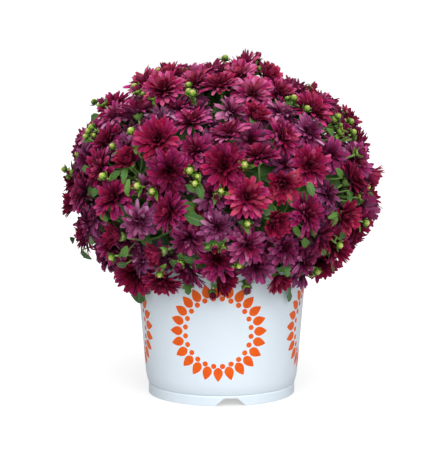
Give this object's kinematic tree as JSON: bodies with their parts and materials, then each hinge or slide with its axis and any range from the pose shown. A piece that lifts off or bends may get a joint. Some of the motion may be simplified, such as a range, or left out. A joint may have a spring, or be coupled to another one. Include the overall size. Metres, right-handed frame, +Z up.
{
  "type": "pot chrysanthemum",
  "caption": "Dome of crowded double flower heads over lobed leaves, on stems that grow from soil in a round tapered plastic pot with a notched foot band; it stands on its flat foot.",
  "frame": {"origin": "middle of the pot's foot, on the surface that it stands on", "axes": "+Z up, along the pot's axis; -Y towards the viewer of the picture; +X to that viewer's right"},
  "size_m": [0.3397, 0.344, 0.3617],
  "materials": {
    "pot_plastic": "satin",
    "potting_soil": "matte",
    "greens": "satin",
    "petals": "matte"
  },
  "bodies": {
    "root": {"pot": "pot_plastic", "soil": "potting_soil", "cutting_1": "greens", "cutting_2": "greens", "cutting_3": "greens", "cutting_4": "greens", "cutting_5": "greens", "spray_01": "petals", "spray_02": "petals", "spray_03": "petals", "spray_04": "petals", "spray_05": "petals", "spray_06": "petals", "spray_07": "petals", "spray_08": "petals", "spray_09": "petals", "spray_10": "petals", "spray_11": "petals", "spray_12": "petals", "spray_13": "petals", "spray_14": "petals", "spray_15": "petals", "spray_16": "petals", "spray_17": "petals", "spray_18": "petals", "spray_19": "petals", "spray_20": "petals", "spray_21": "petals", "spray_22": "petals", "spray_23": "petals", "spray_24": "petals", "spray_25": "petals", "spray_26": "petals", "spray_27": "petals", "spray_28": "petals", "spray_29": "petals", "spray_30": "petals", "spray_31": "petals", "spray_32": "petals", "spray_33": "petals", "spray_34": "petals", "spray_35": "petals", "spray_36": "petals", "spray_37": "petals", "spray_38": "petals", "spray_39": "petals", "spray_40": "petals"}
  },
  "joints": []
}
